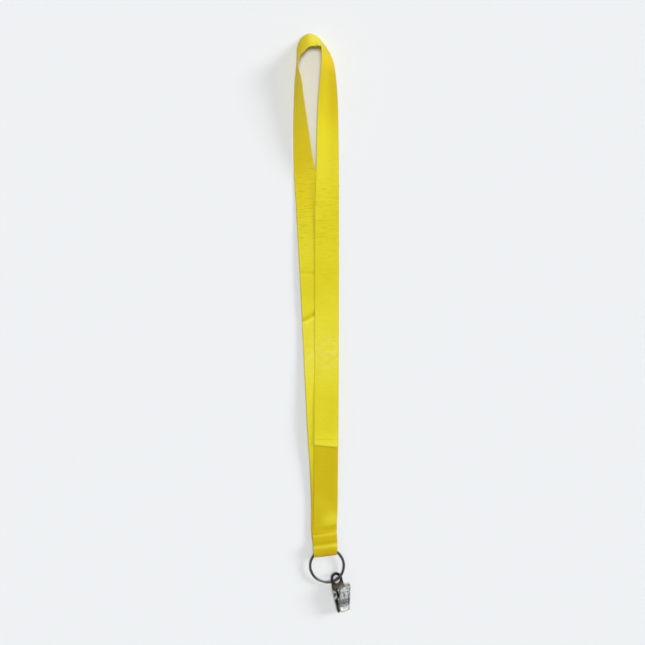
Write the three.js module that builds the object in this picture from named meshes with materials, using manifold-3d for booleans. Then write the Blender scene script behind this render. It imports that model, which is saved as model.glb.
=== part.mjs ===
import * as THREE from 'three';
import { mergeVertices } from 'three/addons/utils/BufferGeometryUtils.js';
import Module from 'manifold-3d';

// Lanyard badge holder lying on a table: +Y runs towards the neck loop, +Z up, millimetres.

const RIBBON_WIDTH = 20;
const RIBBON_THICK = 0.7;
const LAYER_GAP = 0.5;

const RING_RADIUS = 13.9;
const RING_WIRE_RADIAL = 2.1;
const RING_WIRE_AXIAL = 1.1;
const RING_COIL_STEP = 1.3;
const RING_TILT = 2.7;
const RING_ARC_DEPTH = 11.8;

const TUNNEL_X = 3.1;
const TUNNEL_Y = -189.5;
const TUNNEL_Z = 4.8;
const TUNNEL_SKEW = 3;
const TUNNEL_RADIUS = 4.3;
const SEAM_DISTANCE = 13;
const SEAM_Z = 3.7;
const STITCH_DISTANCE = 16;

const THREAD_RADIUS = 0.22;

const CLIP_EYE = [11.6, -212.5, 4.0];
const CLIP_HEADING = [0.225, -0.974];
const CLIP_ROLL = 35;
const CLIP_PITCH = 5;
const CLIP_LENGTH = 26.6;
const SHEET = 0.8;
const EYE_OUTER = 5.3;
const EYE_HOLE = 3.6;
const BACK_HALF_WIDTH = 6.2;
const EAR_OUTER = 6.7;
const LEVER_HALF_WIDTH = 5.5;
const PIN_X = 11.6;
const PIN_Z = 2.5;
const PIN_RADIUS = 0.9;
const PIN_HOLE = 0.96;
const SPRING_WIRE = 0.35;
const SPRING_RADIUS = 1.6;

// Moves the finished assembly so that its box stands on z = 0 and is centred on x and y.
const ORIGIN_SHIFT = [0.5, -0.586, 0];

const wasm = await Module();
wasm.setup();

const rad = THREE.MathUtils.degToRad;
const vec = (x, y, z) => new THREE.Vector3(x, y, z);

// The ribbon's route as ruled lines: outer edge x, y, z, then the plan direction and the rise,
// in degrees, of the line from the outer edge to the inner edge.
const NECK_ROUTE = [
  [12.9, -103.2, 8.5, 174, 0],
  [13.0, -88, 8.6, 179, 0],
  [13.1, -72, 8.0, 180, 0],
  [13.3, -45, 5.9, 180, 0],
  [13.5, -5, 2.4, 180, 0.3],
  [13.6, 31, 3.2, 180, 3.5],
  [13.6, 71, 3.7, 180, 9],
  [13.6, 101, 3.0, 180, 15.5],
  [13.6, 118, 2.7, 180, 19.5],
  [13.5, 134.5, 1.0, 180, 22],
  [13.2, 155, 0.35, 180, 27],
  [12.6, 184, 0.35, 180, 36.5],
  [11.4, 201, 0.35, 180, 47.8],
  [8.6, 217.5, 0.35, 180, 62],
  [5.6, 224.3, 0.35, 188, 71],
  [1.6, 230.4, 0.35, 238, 75],
  [-0.6, 233.2, 0.35, 262, 69],
  [-3.2, 236.3, 0.35, 272, 60],
  [-9.9, 240.1, 0.35, 279, 50],
  [-16.8, 236.4, 0.35, 285, 50],
  [-20.5, 229.4, 0.35, 289, 60],
  [-21.0, 221.4, 0.35, 298, 74],
  [-21.3, 213, 0.35, 327, 81.5],
  [-22.7, 201, 0.35, 352, 75],
  [-23.6, 184, 0.35, 358, 65.5],
  [-24.1, 151, 0.35, 360, 47],
  [-23.9, 134.5, 0.4, 360, 35],
  [-23.2, 118, 0.55, 360, 19.5],
  [-22.2, 101, 1.0, 361, 12.5],
  [-20.6, 71, 2.0, 362, 6.5],
  [-18.4, 31, 2.1, 363, 2],
  [-16.7, -5, 1.2, 363, 0],
  [-14.7, -45, 4.4, 363, 0],
  [-12.6, -88, 6.2, 363, 0],
  [-10.4, -128, 4.4, 363, 0],
  [-9.1, -158, 2.9, 363, 0],
];
const TAIL_ROUTE = [
  [-7.6, -158, 4.3, 362, 0],
  [-7.3, -128, 5.7, 361, 0],
  [-7.1, -92, 7.3, 360, 0],
  [-7.0, -78, 7.25, 360, 0],
];

// Points of the loop that holds the ring: down from the seam, round the tunnel, back to the seam.
function ringLoopRoute() {
  const rows = [];
  const along = vec(Math.cos(rad(TUNNEL_SKEW)), Math.sin(rad(TUNNEL_SKEW)), 0);
  const inward = vec(-along.y, along.x, 0);
  const centre = vec(TUNNEL_X, TUNNEL_Y, TUNNEL_Z);
  const put = (distance, z) => {
    const p = centre.clone().addScaledVector(inward, distance);
    p.addScaledVector(along, -RIBBON_WIDTH / 2);
    rows.push([p.x, p.y, z, 360 + TUNNEL_SKEW, 0]);
  };
  const lift = (RIBBON_THICK + LAYER_GAP) / 2;
  put(SEAM_DISTANCE + 5, SEAM_Z - lift);
  put(SEAM_DISTANCE, SEAM_Z - lift);
  const start = tangentAngle(SEAM_Z - lift - TUNNEL_Z, -1);
  const end = tangentAngle(SEAM_Z + lift - TUNNEL_Z, 1) - 2 * Math.PI;
  const steps = 12;
  for (let i = 0; i <= steps; i += 1) {
    const a = start + ((end - start) * i) / steps;
    put(TUNNEL_RADIUS * Math.cos(a), TUNNEL_Z + TUNNEL_RADIUS * Math.sin(a));
  }
  put(SEAM_DISTANCE, SEAM_Z + lift);
  put(SEAM_DISTANCE + 5, SEAM_Z + lift);
  return rows;
}

function tangentAngle(rise, side) {
  const reach = Math.hypot(SEAM_DISTANCE, rise);
  return Math.atan2(rise, SEAM_DISTANCE) + side * Math.acos(TUNNEL_RADIUS / reach);
}

// Smooth curve through rows of numbers, measured by distance along the outer edge.
function smoothRoute(rows) {
  const s = [0];
  for (let i = 1; i < rows.length; i += 1) {
    const [a, b] = [rows[i - 1], rows[i]];
    s.push(s[i - 1] + Math.max(1.2, Math.hypot(b[0] - a[0], b[1] - a[1], b[2] - a[2])));
  }
  const slope = rows.map((row, i) => row.map((value, k) => {
    const lo = Math.max(0, i - 1);
    const hi = Math.min(rows.length - 1, i + 1);
    if (lo === i || hi === i) return (rows[hi][k] - rows[lo][k]) / (s[hi] - s[lo]);
    const d0 = (value - rows[lo][k]) / (s[i] - s[lo]);
    const d1 = (rows[hi][k] - value) / (s[hi] - s[i]);
    if (d0 * d1 <= 0 && k > 1) return 0;
    return (d0 * (s[hi] - s[i]) + d1 * (s[i] - s[lo])) / (s[hi] - s[lo]);
  }));
  const at = (distance) => {
    let i = 0;
    while (i < rows.length - 2 && s[i + 1] < distance) i += 1;
    const h = s[i + 1] - s[i];
    const t = Math.min(1, Math.max(0, (distance - s[i]) / h));
    const a = 2 * t ** 3 - 3 * t ** 2 + 1;
    const b = t ** 3 - 2 * t ** 2 + t;
    const c = -2 * t ** 3 + 3 * t ** 2;
    const d = t ** 3 - t ** 2;
    return rows[i].map((value, k) => a * value + b * h * slope[i][k]
      + c * rows[i + 1][k] + d * h * slope[i + 1][k]);
  };
  return { s, at };
}

// Closed skin over a row of matching loops, with a flat cap at each end.
function loft(loops) {
  const n = loops[0].length;
  const positions = loops.flat().flatMap((p) => [p.x, p.y, p.z]);
  const index = [];
  for (let i = 0; i < loops.length - 1; i += 1) {
    for (let j = 0; j < n; j += 1) {
      const a = i * n + j;
      const b = i * n + ((j + 1) % n);
      index.push(a, b, a + n, b, b + n, a + n);
    }
  }
  const last = (loops.length - 1) * n;
  for (let j = 1; j < n - 1; j += 1) {
    index.push(0, j + 1, j);
    index.push(last, last + j, last + j + 1);
  }
  const geometry = new THREE.BufferGeometry();
  geometry.setAttribute('position', new THREE.Float32BufferAttribute(positions, 3));
  geometry.setIndex(index);
  if (signedVolume(geometry) < 0) geometry.setIndex(index.reverse());
  geometry.computeVertexNormals();
  return geometry;
}

function signedVolume(geometry) {
  const p = geometry.attributes.position;
  const corner = [0, 1, 2].map(() => vec(0, 0, 0));
  let sum = 0;
  for (let i = 0; i < geometry.index.count; i += 3) {
    corner.forEach((v, k) => v.fromBufferAttribute(p, geometry.index.getX(i + k)));
    sum += corner[0].dot(corner[1].cross(corner[2]));
  }
  return sum;
}

function ribbonGeometry() {
  const rows = [...NECK_ROUTE, ...ringLoopRoute(), ...TAIL_ROUTE];
  const { s, at } = smoothRoute(rows);
  const distances = [];
  for (let i = 0; i < s.length - 1; i += 1) {
    const pieces = Math.max(1, Math.round((s[i + 1] - s[i]) / 5));
    for (let k = 0; k < pieces; k += 1) distances.push(s[i] + ((s[i + 1] - s[i]) * k) / pieces);
  }
  distances.push(s[s.length - 1]);
  const line = distances.map((d) => {
    const [x, y, z, heading, rise] = at(d);
    const across = vec(Math.cos(rad(rise)) * Math.cos(rad(heading)),
      Math.cos(rad(rise)) * Math.sin(rad(heading)), Math.sin(rad(rise)));
    return { outer: vec(x, y, z), across };
  });
  const middle = line.map((row) => row.outer.clone()
    .addScaledVector(row.across, RIBBON_WIDTH / 2));
  return loft(line.map((row, i) => {
    const before = middle[Math.max(0, i - 1)];
    const after = middle[Math.min(middle.length - 1, i + 1)];
    const tangent = after.clone().sub(before).normalize();
    const face = tangent.cross(row.across).normalize().multiplyScalar(RIBBON_THICK / 2);
    const inner = row.outer.clone().addScaledVector(row.across, RIBBON_WIDTH);
    return [
      row.outer.clone().sub(face),
      inner.clone().sub(face),
      inner.clone().add(face),
      row.outer.clone().add(face),
    ];
  }));
}

// Round thread or wire along a list of points.
function wireGeometry(points, radius, sides, steps) {
  const curve = new THREE.CatmullRomCurve3(points, false, 'centripetal');
  const profile = new THREE.Shape();
  for (let i = 0; i < sides; i += 1) {
    const a = (2 * Math.PI * i) / sides;
    const [x, y] = [radius * Math.cos(a), radius * Math.sin(a)];
    if (i === 0) profile.moveTo(x, y);
    else profile.lineTo(x, y);
  }
  profile.closePath();
  const options = { steps, curveSegments: 1, bevelEnabled: false, extrudePath: curve };
  return new THREE.ExtrudeGeometry(profile, options);
}

// A row of zigzag stitches laid along X, centred on the origin.
function stitchGeometry(length, width, count) {
  const points = [];
  for (let i = 0; i <= count; i += 1) {
    const x = -length / 2 + (length * i) / count;
    points.push(vec(x, (i % 2 ? 0.5 : -0.5) * width, 0));
  }
  return wireGeometry(points, THREAD_RADIUS, 6, count * 3);
}

// Two turns of wire, side by side, joined by one short step.
function ringGeometry() {
  const stepAngle = rad(34);
  const total = 4 * Math.PI - stepAngle - rad(4);
  const segments = 92;
  const loops = [];
  for (let i = 0; i <= segments; i += 1) {
    const a = (total * i) / segments;
    const t = THREE.MathUtils.clamp((a - 2 * Math.PI + stepAngle) / stepAngle, 0, 1);
    const z = RING_COIL_STEP * (THREE.MathUtils.smoothstep(t, 0, 1) - 0.5);
    const loop = [];
    for (let j = 0; j < 8; j += 1) {
      const b = (2 * Math.PI * (j + 0.5)) / 8;
      const r = RING_RADIUS + (RING_WIRE_RADIAL / 2) * Math.cos(b) / Math.cos(Math.PI / 8);
      const h = z + (RING_WIRE_AXIAL / 2) * Math.sin(b) / Math.cos(Math.PI / 8);
      loop.push(vec(r * Math.cos(a), r * Math.sin(a), h));
    }
    loops.push(loop);
  }
  return loft(loops);
}

function bare(geometry) {
  const g = geometry.clone();
  g.deleteAttribute('normal');
  g.deleteAttribute('uv');
  return mergeVertices(g, 1e-4);
}

function toSolid(geometry) {
  const g = bare(geometry);
  return new wasm.Manifold(new wasm.Mesh({
    numProp: 3,
    vertProperties: new Float32Array(g.attributes.position.array),
    triVerts: new Uint32Array(g.index.array),
  }));
}

function fromSolid(solid) {
  const mesh = solid.getMesh();
  const geometry = new THREE.BufferGeometry();
  geometry.setAttribute('position', new THREE.Float32BufferAttribute(mesh.vertProperties, 3));
  geometry.setIndex([...mesh.triVerts]);
  geometry.computeVertexNormals();
  return geometry;
}

function union(geometries) {
  return fromSolid(geometries.map(toSolid).reduce((a, b) => a.add(b)));
}

// Plate with its outline in the X-Y plane of the clip, between z = low and z = high.
function platePiece(shape, low, high) {
  const options = { depth: high - low, bevelEnabled: false, curveSegments: 12 };
  return new THREE.ExtrudeGeometry(shape, options).translate(0, 0, low);
}

// Plate with its outline in the X-Z plane of the clip, between y = low and y = high.
function sidePiece(shape, low, high) {
  const options = { depth: high - low, bevelEnabled: false, curveSegments: 12 };
  return new THREE.ExtrudeGeometry(shape, options).rotateX(Math.PI / 2).translate(0, high, 0);
}

function outline(points) {
  return new THREE.Shape(points.map(([x, y]) => new THREE.Vector2(x, y)));
}

function circleHole(x, y, radius) {
  const hole = new THREE.Path();
  hole.absarc(x, y, radius, 0, 2 * Math.PI, true);
  return hole;
}

// Back jaw: pressed plate with a round eye at its tail, two ears for the pin and a gripping lip.
function backJawGeometry() {
  const w = BACK_HALF_WIDTH;
  const plate = new THREE.Shape();
  plate.moveTo(8, -w);
  plate.lineTo(CLIP_LENGTH - 1, -w);
  plate.quadraticCurveTo(CLIP_LENGTH, -w, CLIP_LENGTH, -w + 1);
  plate.lineTo(CLIP_LENGTH, w - 1);
  plate.quadraticCurveTo(CLIP_LENGTH, w, CLIP_LENGTH - 1, w);
  plate.lineTo(8, w);
  plate.lineTo(0.9, EYE_OUTER);
  plate.absarc(0, 0, EYE_OUTER, rad(80), rad(280), false);
  plate.closePath();
  plate.holes.push(circleHole(0, 0, EYE_HOLE));
  const parts = [platePiece(plate, -SHEET / 2, SHEET / 2)];
  const shelf = outline([[7.4, -EAR_OUTER], [16.2, -EAR_OUTER], [16.2, EAR_OUTER], [7.4, EAR_OUTER]]);
  parts.push(platePiece(shelf, -SHEET / 2, SHEET / 2));
  for (const side of [-1, 1]) {
    const ear = outline([[7.4, 0], [16.2, 0], [14.4, 3.9], [13.0, 4.9], [10.2, 4.9], [9.0, 3.9]]);
    ear.holes.push(circleHole(PIN_X, PIN_Z, PIN_HOLE));
    const inner = side * (EAR_OUTER - SHEET);
    const outer = side * EAR_OUTER;
    parts.push(sidePiece(ear, Math.min(inner, outer), Math.max(inner, outer)));
  }
  const lip = outline([[CLIP_LENGTH - 1.2, 0], [CLIP_LENGTH - 0.1, 0], [CLIP_LENGTH - 0.3, 0.9],
    [CLIP_LENGTH - 0.9, 0.9]]);
  parts.push(sidePiece(lip, -w + 1.2, w - 1.2));
  return union(parts);
}

// Front jaw and thumb lever: slanting plate with side flanges that turn on the pin.
function frontJawGeometry() {
  const w = LEVER_HALF_WIDTH;
  const face = outline([
    [6.5, 10.2], [7.2, 10.5], [21.1, 3.75], [24.4, 2.5], [26.2, 2.2], [27.0, 1.3], [26.3, 1.0],
    [25.7, 1.35], [24.1, 1.65], [20.8, 2.9], [7.2, 9.55], [6.9, 9.5],
  ]);
  const parts = [sidePiece(face, -w, w)];
  for (const side of [-1, 1]) {
    const flange = outline([
      [7.4, 8.1], [10.0, 1.8], [11.6, 0.85], [15.3, 1.25], [20.4, 2.2], [21.1, 3.3], [7.6, 9.6],
    ]);
    flange.holes.push(circleHole(PIN_X, PIN_Z, PIN_HOLE));
    const inner = side * (w - SHEET);
    const outer = side * w;
    parts.push(sidePiece(flange, Math.min(inner, outer), Math.max(inner, outer)));
  }
  return union(parts);
}

// Hinge pin along the clip's Y axis, with a shallow riveted head at each end.
function pinGeometry() {
  const half = EAR_OUTER + 0.15;
  const profile = [
    [0, -half - 0.5], [0.9, -half - 0.4], [1.3, -half], [PIN_RADIUS, -half],
    [PIN_RADIUS, half], [1.3, half], [0.9, half + 0.4], [0, half + 0.5],
  ].map(([r, y]) => new THREE.Vector2(r, y));
  return bare(new THREE.LatheGeometry(profile, 24)).translate(PIN_X, 0, PIN_Z);
}

// Torsion spring: coils round the pin, one leg on the back jaw and one under the thumb plate.
function springGeometry() {
  const points = [vec(6.6, -1.9, 1.05), vec(8.2, -1.9, 1.0)];
  const turns = 4;
  const steps = turns * 10;
  for (let i = 0; i <= steps + 4; i += 1) {
    const a = rad(-90) + (2 * Math.PI * turns * i) / steps;
    const y = -1.7 + (3.4 * i) / (steps + 4);
    points.push(vec(PIN_X + SPRING_RADIUS * Math.cos(a), y, PIN_Z + SPRING_RADIUS * Math.sin(a)));
  }
  points.push(vec(10.2, 1.9, 5.2), vec(7.9, 1.9, 8.4));
  return wireGeometry(points, SPRING_WIRE, 6, 150);
}

function material(color, metalness, roughness) {
  return new THREE.MeshStandardMaterial({ color, metalness, roughness });
}

function piece(name, geometry, surface) {
  const mesh = new THREE.Mesh(geometry, surface);
  mesh.name = name;
  return mesh;
}

const part = new THREE.Group();
part.name = 'lanyard_badge_holder';
part.position.set(...ORIGIN_SHIFT);

const strap = new THREE.Group();
strap.name = 'strap';
strap.add(piece('ribbon', ribbonGeometry(), material(0xd9c62f, 0, 0.55)));

const tunnelSeam = piece('ring_seam_stitching', stitchGeometry(17, 1.6, 20),
  material(0xc9b327, 0, 0.7));
const skew = rad(TUNNEL_SKEW);
tunnelSeam.position.set(TUNNEL_X - STITCH_DISTANCE * Math.sin(skew),
  TUNNEL_Y + STITCH_DISTANCE * Math.cos(skew),
  SEAM_Z + (RIBBON_THICK + LAYER_GAP) / 2 + RIBBON_THICK / 2 + THREAD_RADIUS + 0.12);
tunnelSeam.rotation.z = skew;
strap.add(tunnelSeam);

const endSeam = piece('end_seam_stitching', stitchGeometry(16.5, 1.4, 20),
  material(0xcdb829, 0, 0.7));
endSeam.position.set(3.0, -97.5, 8.58 + RIBBON_THICK / 2 + THREAD_RADIUS + 0.14);
endSeam.rotation.z = rad(-4);
strap.add(endSeam);
part.add(strap);

const ring = piece('split_ring', ringGeometry(), material(0x77757a, 1, 0.3));
const ringDrop = RING_ARC_DEPTH * Math.cos(rad(RING_TILT));
ring.position.set(TUNNEL_X + ringDrop * Math.sin(skew), TUNNEL_Y - ringDrop * Math.cos(skew),
  TUNNEL_Z - RING_ARC_DEPTH * Math.sin(rad(RING_TILT)));
ring.rotation.set(0, 0, skew);
ring.rotateX(rad(RING_TILT));
ring.rotateZ(rad(150));
part.add(ring);

// The clip's own axes: X from the eye to the jaw tip, Y across the jaws, Z out of the front.
const clip = new THREE.Group();
clip.name = 'clip';
const heading = vec(CLIP_HEADING[0], CLIP_HEADING[1], Math.sin(rad(CLIP_PITCH))).normalize();
const level = vec(0, 0, 1).cross(heading).normalize();
const across = level.applyAxisAngle(heading, rad(-CLIP_ROLL));
const front = heading.clone().cross(across);
clip.quaternion.setFromRotationMatrix(new THREE.Matrix4().makeBasis(heading, across, front));
clip.position.set(...CLIP_EYE);
clip.add(piece('back_jaw', backJawGeometry(), material(0x8d8c88, 1, 0.35)));
clip.add(piece('front_jaw', frontJawGeometry(), material(0xb4b6b4, 1, 0.3)));
clip.add(piece('hinge_pin', pinGeometry(), material(0x6f6d6a, 1, 0.4)));
clip.add(piece('torsion_spring', springGeometry(), material(0x9a9a98, 1, 0.3)));
part.add(clip);

export default part;
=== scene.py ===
import math

import bmesh
import bpy
import numpy as np
from mathutils import Matrix, Vector


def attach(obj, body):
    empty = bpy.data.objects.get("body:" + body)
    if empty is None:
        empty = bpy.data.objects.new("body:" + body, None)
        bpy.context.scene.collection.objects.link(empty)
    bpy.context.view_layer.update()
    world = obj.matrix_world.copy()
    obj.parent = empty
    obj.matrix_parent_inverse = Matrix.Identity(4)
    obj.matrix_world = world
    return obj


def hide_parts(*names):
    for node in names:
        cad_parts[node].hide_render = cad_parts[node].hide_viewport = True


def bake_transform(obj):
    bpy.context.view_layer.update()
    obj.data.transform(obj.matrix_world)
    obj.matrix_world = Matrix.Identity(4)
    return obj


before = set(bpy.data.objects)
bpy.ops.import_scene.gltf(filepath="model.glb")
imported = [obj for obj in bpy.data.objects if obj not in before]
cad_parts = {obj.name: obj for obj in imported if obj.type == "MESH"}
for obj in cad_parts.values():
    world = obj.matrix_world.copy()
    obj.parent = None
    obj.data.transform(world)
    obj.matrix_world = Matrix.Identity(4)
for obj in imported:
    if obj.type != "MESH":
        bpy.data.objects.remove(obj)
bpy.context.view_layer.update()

# Lengths are in mm and angles in degrees, in a frame that SHIFT moves onto the shared origin.
MM = 0.001
SHIFT = Vector((0.5, -0.586, 0.0))

# The camera looks straight down. Its height and the width it takes in at the floor are in metres.
CAMERA_HEIGHT = 1.3
VIEW_WIDTH = 0.53535
SENSOR_WIDTH = 36

# Ribbon: the gap is between two layers that lie on each other, the selvedge bead is measured
# from the middle of the ribbon, and the pitches are those of the satin's yarns.
RIBBON_WIDTH = 20.0
RIBBON_THICK = 0.5
LAYER_GAP = 0.2
SELVEDGE = 9.35
WEFT_PITCH = 0.42
WARP_PITCH = 0.36
STATION_STEP = 1.3
SHORTEST_STEP = 1.2

# Tunnel of ribbon that the ring turns in. Its two layers come together at SEAM_DISTANCE, and
# the row of stitches that closes it is a little further up.
TUNNEL = Vector((3.1, -189.5, 4.8))
TUNNEL_SKEW = 3.0
TUNNEL_RADIUS = 3.95
ROLL_STEPS = 12
SEAM_DISTANCE = 13.0
SEAM_MARGIN = 5
SEAM_Z = 3.5
STITCH_DISTANCE = 16.0
# Distances along the ribbon from the outermost line of the roll: to where the cloth has left
# the roll on either side, and to where the reverse of the satin comes up.
ROLL_REACH = 6
REVERSE_START = 1.5

# Split ring: radius of the wire's middle, the depth of the centre below the tunnel, where its
# ends lie, the rise from one turn to the other, and the half sizes of the flattened wire.
RING_RADIUS = 13.9
RING_TILT = 2.7
RING_ARC_DEPTH = 11.8
RING_END_ANGLE = 150
RING_PITCH = 1.3
WIRE_HALF_BREADTH = 1.05
WIRE_HALF_HEIGHT = 0.58

# Clip: where the middle of its eye is, and how its length lies.
CLIP_EYE = Vector((11.6, -212.5, 4.0))
CLIP_HEADING = (0.225, -0.974)
CLIP_ROLL = 35.0
CLIP_PITCH = 5.0

# Ruled lines of the ribbon, in the same form as in the CAD but with its layers closer together:
# outer edge x, y, z, then the plan direction and the rise of the line from the outer edge to
# the inner edge.
NECK_ROUTE = [
    (12.9, -103.2, 7.6, 174, 0), (13.0, -88, 7.5, 179, 0), (13.1, -72, 7.1, 180, 0),
    (13.3, -45, 5.15, 180, 0), (13.5, -5, 3.6, 180, 0.3), (13.6, 31, 3.6, 180, 1.5),
    (13.6, 71, 3.0, 180, 2.5), (13.6, 101, 2.2, 180, 8), (13.6, 118, 1.7, 180, 18),
    (13.5, 134.5, 1.0, 180, 22), (13.2, 155, 0.35, 180, 27), (12.6, 184, 0.35, 180, 36.5),
    (11.4, 201, 0.35, 180, 47.8), (8.6, 217.5, 0.35, 180, 62), (5.6, 224.3, 0.35, 188, 71),
    (1.6, 230.4, 0.35, 238, 75), (-0.6, 233.2, 0.35, 262, 69), (-3.5, 236.7, 0.35, 272, 60),
    (-9.9, 239.6, 0.35, 279, 50), (-16.5, 236.8, 0.35, 285, 50), (-20.5, 229.4, 0.35, 289, 60),
    (-21.0, 221.4, 0.35, 298, 76), (-21.3, 213, 0.35, 327, 86), (-22.7, 201, 0.35, 352, 75),
    (-23.6, 184, 0.35, 358, 65.5), (-24.1, 151, 0.35, 360, 47), (-23.9, 134.5, 0.4, 360, 36.5),
    (-23.2, 118, 0.55, 360, 18), (-22.2, 101, 1.0, 361, 8), (-20.6, 71, 2.0, 362, 2.5),
    (-18.4, 31, 2.9, 363, 1), (-16.7, -5, 2.8, 363, 0), (-14.7, -45, 4.4, 363, 0),
    (-12.5, -88, 6.2, 363, 0), (-10.1, -128, 3.8, 362.5, 0), (-9.4, -158, 2.9, 362.5, 0),
]
TAIL_ROUTE = [
    (-7.6, -158, 3.62, 362, 0), (-7.3, -128, 4.48, 361, 0), (-7.1, -92, 6.78, 360, 0),
    (-7.0, -78, 6.72, 360, 0),
]


# ---------------------------------------------------------------- helpers

def rad(degrees):
    return math.radians(degrees)


def tangent_angle(rise, side):
    """Angle round the tunnel at which ribbon that comes from the seam meets the roll."""
    reach = math.hypot(SEAM_DISTANCE, rise)
    return math.atan2(rise, SEAM_DISTANCE) + side * math.acos(TUNNEL_RADIUS / reach)


def ring_loop_route():
    """Rows that take the ribbon past its seam, round the tunnel and back past the seam."""
    along = Vector((math.cos(rad(TUNNEL_SKEW)), math.sin(rad(TUNNEL_SKEW)), 0))
    inward = Vector((-along.y, along.x, 0))
    rows = []

    def put(distance, z, shift):
        """One row: how far it is up from the tunnel, its height, its shift along the tunnel."""
        p = TUNNEL + inward * distance - along * (RIBBON_WIDTH / 2 - shift)
        rows.append((p.x, p.y, z, 360 + TUNNEL_SKEW, 0))

    lift = (RIBBON_THICK + LAYER_GAP) / 2
    put(SEAM_DISTANCE + SEAM_MARGIN, SEAM_Z - lift, -1.6)
    put(SEAM_DISTANCE, SEAM_Z - lift, -1.4)
    start = tangent_angle(SEAM_Z - lift - TUNNEL.z, -1)
    end = tangent_angle(SEAM_Z + lift - TUNNEL.z, 1) - 2 * math.pi
    for i in range(ROLL_STEPS + 1):
        a = start + (end - start) * i / ROLL_STEPS
        put(TUNNEL_RADIUS * math.cos(a), TUNNEL.z + TUNNEL_RADIUS * math.sin(a), -0.6)
    put(SEAM_DISTANCE, SEAM_Z + lift, -0.4)
    put(SEAM_DISTANCE + SEAM_MARGIN, SEAM_Z + lift, -0.3)
    return rows


def smooth_route(rows):
    """Distances of the rows along the outer edge, and a function that gives a row anywhere."""
    rows = np.array(rows, float)
    steps = np.maximum(SHORTEST_STEP, np.linalg.norm(np.diff(rows[:, :3], axis=0), axis=1))
    s = np.concatenate([[0], np.cumsum(steps)])
    slope = np.zeros_like(rows)
    slope[0] = (rows[1] - rows[0]) / (s[1] - s[0])
    slope[-1] = (rows[-1] - rows[-2]) / (s[-1] - s[-2])
    for i in range(1, len(rows) - 1):
        d0 = (rows[i] - rows[i - 1]) / (s[i] - s[i - 1])
        d1 = (rows[i + 1] - rows[i]) / (s[i + 1] - s[i])
        m = (d0 * (s[i + 1] - s[i]) + d1 * (s[i] - s[i - 1])) / (s[i + 1] - s[i - 1])
        m[2:] = np.where(d0[2:] * d1[2:] <= 0, 0, m[2:])
        slope[i] = m

    def at(d):
        i = int(np.clip(np.searchsorted(s, d, side="right") - 1, 0, len(rows) - 2))
        h = s[i + 1] - s[i]
        t = min(1.0, max(0.0, (d - s[i]) / h))
        return ((2 * t ** 3 - 3 * t ** 2 + 1) * rows[i] + (t ** 3 - 2 * t ** 2 + t) * h * slope[i]
                + (-2 * t ** 3 + 3 * t ** 2) * rows[i + 1] + (t ** 3 - t ** 2) * h * slope[i + 1])

    return s, at


def mesh_object(name, verts, faces, uv=None):
    """A smooth-shaded mesh object from vertices in mm, before the origin shift."""
    mesh = bpy.data.meshes.new(name)
    points = (np.asarray(verts, float) + np.array(SHIFT)) * MM
    mesh.from_pydata(points.tolist(), [], faces)
    if uv is not None:
        layer = mesh.uv_layers.new(name="cloth")
        loops = np.zeros(len(mesh.loops), dtype=np.int64)
        mesh.loops.foreach_get("vertex_index", loops)
        layer.data.foreach_set("uv", (np.asarray(uv, float)[loops]).ravel())
    mesh.validate()
    bm = bmesh.new()
    bm.from_mesh(mesh)
    bmesh.ops.recalc_face_normals(bm, faces=bm.faces)
    bm.to_mesh(mesh)
    bm.free()
    for polygon in mesh.polygons:
        polygon.use_smooth = True
    obj = bpy.data.objects.new(name, mesh)
    bpy.context.scene.collection.objects.link(obj)
    return obj


def paint(obj, name, values):
    """Stores one number per vertex, for the material to read."""
    layer = obj.data.attributes.new(name, "FLOAT", "POINT")
    layer.data.foreach_set("value", np.asarray(values, dtype=np.float32).ravel())


def loft_faces(rows, count, closed_rows=False, caps=True):
    """Faces of a loft through rows of points; each row is a closed ring of count points."""
    faces = []
    for i in range(rows - 1 + int(closed_rows)):
        for j in range(count):
            a = i * count + j
            b = i * count + (j + 1) % count
            k = ((i + 1) % rows) * count - i * count
            faces.append((a, b, b + k, a + k))
    if caps and not closed_rows:
        faces.append(tuple(range(count - 1, -1, -1)))
        faces.append(tuple((rows - 1) * count + j for j in range(count)))
    return faces


def tube_points(points, radius, sides, squash=1.0, up=Vector((0, 0, 1))):
    """Rings of points round a path; the section is squashed along the path's up direction."""
    rings = []
    n = len(points)
    for i, p in enumerate(points):
        t = (points[min(n - 1, i + 1)] - points[max(0, i - 1)]).normalized()
        side = t.cross(up)
        if side.length < 1e-4:
            side = t.cross(Vector((0, 1, 0)))
        side.normalize()
        lift = side.cross(t).normalized()
        for j in range(sides):
            a = 2 * math.pi * j / sides
            rings.append(p + side * (radius * math.cos(a))
                         + lift * (radius * squash * math.sin(a)))
    return rings


def value_noise(x, y, seed):
    """Smooth repeatable noise between -1 and 1 on arrays of coordinates."""
    def lattice(i, j):
        h = np.sin(i * 127.1 + j * 311.7 + seed * 74.7) * 43758.5453
        return (h - np.floor(h)) * 2 - 1
    xi, yi = np.floor(x), np.floor(y)
    fx, fy = x - xi, y - yi
    fx, fy = fx * fx * (3 - 2 * fx), fy * fy * (3 - 2 * fy)
    a = lattice(xi, yi) * (1 - fx) + lattice(xi + 1, yi) * fx
    b = lattice(xi, yi + 1) * (1 - fx) + lattice(xi + 1, yi + 1) * fx
    return a * (1 - fy) + b * fy


# ---------------------------------------------------------------- node materials

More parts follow.
